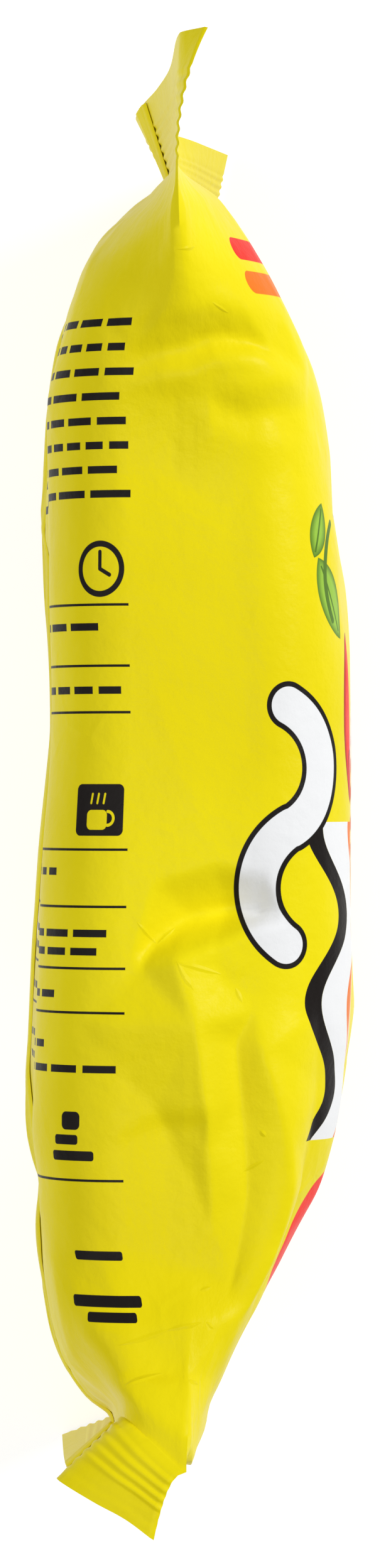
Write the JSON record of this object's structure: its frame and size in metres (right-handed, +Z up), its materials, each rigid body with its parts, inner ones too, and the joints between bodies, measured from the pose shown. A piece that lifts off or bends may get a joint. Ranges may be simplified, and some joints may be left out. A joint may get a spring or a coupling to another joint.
{
  "type": "instant noodle packet",
  "caption": "Sealed pillow packet of instant noodles in glossy film, lying on one long side, with a flat ribbed seal at each end and a lap seal down its back.",
  "frame": {"origin": "under the middle of the packet, on the plane it rests on", "axes": "+X from the back panel out through the front panel, +Y along the packet to its top seal, +Z up from the long side it rests on to the long side that shows"},
  "size_m": [0.0455, 0.1965, 0.1342],
  "materials": {
    "film": "satin gloss printed film"
  },
  "bodies": {
    "root": {"packet": "film"}
  },
  "joints": []
}
